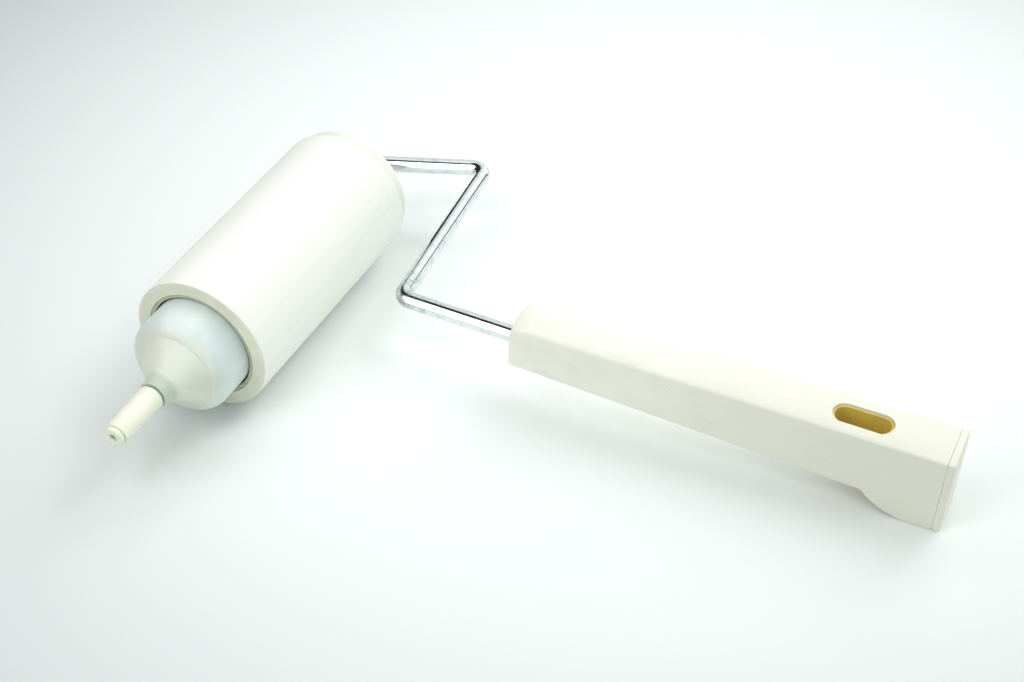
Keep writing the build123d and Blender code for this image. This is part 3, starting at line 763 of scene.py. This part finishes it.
def hole_wall(outer, inner, over):
    """Skin round one mouth of the hang hole, from the patch outside to the patch inside.

    Rings blend evenly from the patch's edge to the hole's outline at the face's own height,
    turn over a quarter round, go through the wall and blend out again to the inner patch.
    """
    sign = 1 if over else -1
    blend = np.linspace(0, 1, 5)[:, None, None]

    def face_rings(loop, grow, inset):
        flat = loop[None, :, :2] * (1 - blend) + oval_loop(loop, grow)[None] * blend
        height = face_height(flat[..., 0], flat[..., 1], inset, over)
        return np.concatenate([flat, height[..., None]], -1)

    outside = face_rings(outer, SLOT_EASE, 0.0)
    outside[0] = outer
    lip = []
    for angle in np.linspace(0, math.pi / 2, 5)[1:]:
        oval = oval_loop(outer, SLOT_EASE * (1 - math.sin(angle)))
        height = face_height(oval[:, 0], oval[:, 1], 0.0, over)
        height = height - sign * SLOT_EASE * (1 - math.cos(angle))
        lip.append(np.concatenate([oval, height[:, None]], 1))
    inside = face_rings(inner, 0.0, SHELL_WALL)[::-1]
    inside[-1] = inner
    return np.concatenate([outside, np.array(lip), inside])


def handle_body():
    """The hollow moulding: outer and inner skins joined at the wire's hole, the hang hole and
    the open rear end."""
    x = stations()
    drawn = quarter_draw(x - FRONT_X, FRONT_ROUND) + quarter_draw(SEAM_X - x, SEAM_EASE)
    outer = section(x, drawn)
    inner_x = np.maximum(x, FRONT_X + FRONT_WALL)
    inner = section(inner_x, SHELL_WALL)
    low = int(np.argmin(np.abs(x - PATCH_X[0])))
    high = int(np.argmin(np.abs(x - PATCH_X[1])))
    columns = outer.shape[1]
    bottom = (BOTTOM_FIRST + HOLE_FIRST, BOTTOM_FIRST + HOLE_LAST)
    keep = np.ones((len(x) - 1, columns), bool)
    keep[low:high, HOLE_FIRST:HOLE_LAST] = False
    keep[low:high, bottom[0]:bottom[1]] = False
    started = int(np.searchsorted(x, FRONT_X + FRONT_WALL + 0.5)) - 1
    inner[started, :, 0] = FRONT_X + FRONT_WALL
    blocks = [sheet(outer, close_columns=True, keep=keep),
              sheet(inner[started:], close_columns=True, keep=keep[started:])]
    for first, last, over in ((HOLE_FIRST, HOLE_LAST, True), (*bottom, False)):
        wall = hole_wall(patch_loop(outer, low, high, first, last),
                         patch_loop(inner, low, high, first, last), over)
        blocks.append(sheet(wall, close_columns=True))
    blend = np.linspace(0, 1, 4)[:, None, None]
    angle = np.arctan2(outer[0, :, 2], outer[0, :, 1])
    bore = WIRE_RADIUS + FIT_GAP
    ring = np.stack([np.full(columns, FRONT_X), bore * np.cos(angle), bore * np.sin(angle)], -1)
    deep = ring + (FRONT_WALL, 0, 0)
    front = np.concatenate([outer[0] * (1 - blend) + ring * blend,
                            deep * (1 - blend) + inner[started] * blend])
    blocks += [sheet(front, close_columns=True),
               sheet(np.stack([outer[-1], inner[-1]]), close_columns=True)]
    placed = [(on_handle(points), quads, finish) for points, quads, finish in blocks]
    make_piece("handle_body", placed, [HANDLE_CREAM], "frame", "handle_shell")


def handle_cap():
    """The end cap: sections carried from its round-edged rear plate into its hollow spigot."""
    round_angle = np.linspace(0, math.pi / 2, 6)
    rear_x = REAR_X - CAP_ROUND * (1 - np.cos(round_angle))
    rear_in = CAP_ROUND * (1 - np.sin(round_angle))
    seam_angle = np.linspace(math.pi / 2, 0, 4)
    seam_x = SEAM_X + SEAM_EASE * (1 - np.cos(seam_angle))
    seam_in = SEAM_EASE * (1 - np.sin(seam_angle))
    spigot, hollow = SHELL_WALL + FIT_GAP, SHELL_WALL + CAP_WALL
    tip = SEAM_X - CAP_SPIGOT
    x = np.concatenate([rear_x, [REAR_X - CAP_ROUND - 0.3, SEAM_X + SEAM_EASE + 0.2], seam_x,
                        [SEAM_X, tip + 0.5, tip, tip, tip + 0.5, SEAM_X]])
    inset = np.concatenate([rear_in, [0, 0], seam_in,
                            [spigot, spigot, spigot + 0.4, hollow - 0.3, hollow, hollow]])
    rings = section(x, inset)
    rings[..., 0] = x[:, None]
    first_centre, last_centre = (np.stack([ring[:, 0], 0 * ring[:, 0], 0 * ring[:, 0] + CAP_MIDDLE], 1)
                                 for ring in (rings[0], rings[-1]))
    blend = np.linspace(1, 0, 6)[:-1, None, None]
    first = rings[0] * (1 - blend) + first_centre * blend
    last = rings[-1] * (1 - blend[::-1]) + last_centre * blend[::-1]
    points = on_handle(np.concatenate([first, rings, last]))
    make_piece("handle_cap", [sheet(points, close_columns=True)], [HANDLE_CREAM], "frame",
               "handle_end_cap")


def hole_liner():
    """The oval sleeve down the hang hole, its ends drawn in from the handle's two faces."""
    count = 120
    straight = (SLOT_LENGTH - SLOT_WIDTH) / 2
    outer_radius = SLOT_WIDTH / 2 - FIT_GAP
    inner_radius = outer_radius - LINER_WALL
    arc = math.pi * np.linspace(-0.5, 0.5, count // 4)
    arc_x = np.concatenate([straight + 0 * arc, -straight + 0 * arc])
    angle = np.concatenate([arc, arc + math.pi])

    def ring(radius, over, draw):
        oval_x = SLOT_CENTRE + arc_x + radius * np.cos(angle)
        oval_y = SLOT_SIDE + radius * np.sin(angle)
        height = face_height(oval_x, oval_y, LINER_RECESS + draw, over)
        return np.stack([oval_x, oval_y, height], -1)

    ease = 0.25
    rings = [ring(outer_radius, True, ease), ring(outer_radius - ease, True, 0),
             ring(inner_radius + ease, True, 0), ring(inner_radius, True, ease)]
    rings += [ring(inner_radius, False, ease), ring(inner_radius + ease, False, 0),
              ring(outer_radius - ease, False, 0), ring(outer_radius, False, ease)]
    points = on_handle(np.array(rings))
    make_piece("hole_liner", [sheet(points, close_rows=True, close_columns=True)], [LINER_YELLOW],
               "frame", "hang_hole_liner")


paper_refill()
card_sleeve()
core_moulding()
stop_flange()
wire_collar()
nose()
bent_wire()
handle_body()
handle_cap()
hole_liner()

for node_name, finish in (("front_bush", BUSH_POM), ("rear_bush", BUSH_POM),
                          ("front_washer", WASHER_STEEL), ("rear_washer", WASHER_STEEL),
                          ("shank_insert", INSERT_GREY), ("shank_pin", WASHER_STEEL)):
    cad_mesh = frame["nodes"][node_name].data
    cad_mesh.materials.clear()
    cad_mesh.materials.append(finish)


# ---- floor, light and camera ----------------------------------------------------------
# middle of the floor's painted pool of light
FLOOR_LIGHT_POOL_MIDDLE = (0.01, 0.11, 0.0)
WALL_LIGHT = (0.5, 0.74)    # strengths of the world's parts: left and right of the wall,
AHEAD_LIGHT = 0.74          # the second wall
CEILING_LIGHT = 0.02        # and everything else
MIRROR_BOOST = 0.7          # how much brighter the world looks in mirrors
WALL_GAP = 0.53             # how far right of straight ahead the dark gap lies
AIM = (0.0, 0.0, 0.02)      # where the softboxes point
SOFTBOXES = (               # name, side in metres, watts, position
    ("left_softbox", 0.8, 1.6, (-0.9, 0.1, 0.9)),
    ("back_softbox", 0.8, 6.5, (0.2, 1.0, 0.9)),
    ("front_softbox", 0.5, 2.3, (-0.45, -0.65, 0.55)),
    ("high_front_softbox", 0.6, 3.7, (-0.2, -0.5, 1.2)),
    ("high_right_softbox", 0.4, 2.1, (0.5, 0.4, 1.0)),
    ("high_left_softbox", 0.5, 1.5, (-0.5, 0.5, 1.0)),
)


def floor():
    """A wide matt paper floor with a painted pool of light: palest round the object, painted darker
    further out.
    """
    made, tree, spot = blank("studio_paper")
    distance = add(tree, "ShaderNodeVectorMath", "Value", operation="DISTANCE", in_0=spot,
                   in_1=FLOOR_LIGHT_POOL_MIDDLE)
    # painted light falloff: the floor is painted darker with distance from the object, as the light dims
    # towards the corners
    painted_falloff = add(tree, **EASED, in_0=distance, in_1=0.05, in_2=0.60)
    tone = add(tree, **BLENDED, in_0=painted_falloff, in_6=colour("#F2F6F5"), in_7=colour("#82908F"))
    skin = add(tree, "ShaderNodeBsdfPrincipled", Base_Color=tone, Roughness=0.9, Specular_IOR_Level=0.2)
    add(tree, "ShaderNodeOutputMaterial", Surface=skin)
    size = 3.0
    mesh = bpy.data.meshes.new("studio_floor")
    mesh.from_pydata([(-size, -size, 0), (size, -size, 0), (size, size, 0), (-size, size, 0)], [],
                     [(0, 1, 2, 3)])
    mesh.materials.append(made)
    ground = bpy.data.objects.new("studio_floor", mesh)
    bpy.context.scene.collection.objects.link(ground)


def soft_light(name, width, height, power, position, target, seen=False, lights=True):
    """A flat soft light aimed at a point, in metres and watts; mirrors see it only if asked."""
    lamp = bpy.data.lights.new(name, "AREA")
    lamp.shape, lamp.size, lamp.size_y, lamp.energy = "RECTANGLE", width, height, power
    placed = bpy.data.objects.new(name, lamp)
    placed.location = position
    placed.rotation_euler = (Vector(target) - Vector(position)).to_track_quat("-Z", "Y").to_euler()
    placed.visible_camera = False
    placed.visible_glossy = seen
    placed.visible_diffuse = lights
    bpy.context.scene.collection.objects.link(placed)


def studio_world():
    """A white wall behind and on the right, dimmer at its left end, under a dark ceiling.

    The wall starts where x + y passes about a tenth, and a dark gap runs up it. A second wall
    stands on the near right. Mirrors see all of it brighter than it lights the rest.
    """
    world = bpy.data.worlds.new("studio")
    bpy.context.scene.world = world
    world.use_nodes = True
    tree = world.node_tree
    tree.nodes.clear()
    direction = add(tree, "ShaderNodeTexCoord", "Generated")
    sideways = add(tree, "ShaderNodeSeparateXYZ", "X", Vector=direction)
    onward = add(tree, "ShaderNodeSeparateXYZ", "Y", Vector=direction)
    slanted = add(tree, "ShaderNodeMath", operation="ADD", in_0=sideways, in_1=onward)
    wall = add(tree, **EASED, in_0=slanted, in_1=0.06, in_2=0.13)
    level = add(tree, **EASED, in_0=sideways, in_1=-0.4, in_2=-0.05, in_3=WALL_LIGHT[0],
                in_4=WALL_LIGHT[1])
    from_gap = add(tree, "ShaderNodeMath", operation="SUBTRACT", in_0=sideways, in_1=WALL_GAP)
    from_gap = add(tree, "ShaderNodeMath", operation="ABSOLUTE", in_0=from_gap)
    gap = add(tree, **EASED, in_0=from_gap, in_1=0.03, in_2=0.07, in_3=0.1, in_4=1.0)
    wall = add(tree, "ShaderNodeMath", operation="MULTIPLY", in_0=wall, in_1=level)
    wall = add(tree, "ShaderNodeMath", operation="MULTIPLY", in_0=wall, in_1=gap)
    ahead = add(tree, **EASED, in_0=onward, in_1=-0.22, in_2=-0.12, in_3=AHEAD_LIGHT, in_4=CEILING_LIGHT)
    right = add(tree, **EASED, in_0=sideways, in_1=-0.05, in_2=0.05)
    ahead = add(tree, "ShaderNodeMath", operation="MULTIPLY", in_0=ahead, in_1=right)
    strength = add(tree, "ShaderNodeMath", operation="MAXIMUM", in_0=ahead, in_1=wall)
    strength = add(tree, "ShaderNodeMath", operation="MAXIMUM", in_0=strength, in_1=CEILING_LIGHT)
    mirrored = add(tree, "ShaderNodeLightPath", "Is Glossy Ray")
    boost = add(tree, "ShaderNodeMath", operation="MULTIPLY_ADD", in_0=mirrored, in_1=MIRROR_BOOST,
                in_2=1.0)
    strength = add(tree, "ShaderNodeMath", operation="MULTIPLY", in_0=strength, in_1=boost)
    shine = add(tree, "ShaderNodeBackground", Color=colour("#FBFFFE"), Strength=strength)
    add(tree, "ShaderNodeOutputWorld", Surface=shine)


floor()
studio_world()
for lamp_name, side, watts, place in SOFTBOXES:
    soft_light(lamp_name, side, side, watts, place, AIM)
soft_light("reflector_panel", 1.2, 1.34, 12.0, (-0.3, -0.6, 0.54), (-0.3, 0.0, 0.0957), seen=True,
           lights=False)

view = bpy.data.cameras.new("view")
view.lens, view.sensor_width = 67.41, 36.0
eye = bpy.data.objects.new("view", view)
eye.location = (0.21154, -0.45204, 0.47721)
eye.rotation_euler = (math.radians(48.71), 0.0, math.radians(26.59))
bpy.context.scene.collection.objects.link(eye)
bpy.context.scene.camera = eye
bpy.context.scene.view_settings.view_transform = "Standard"
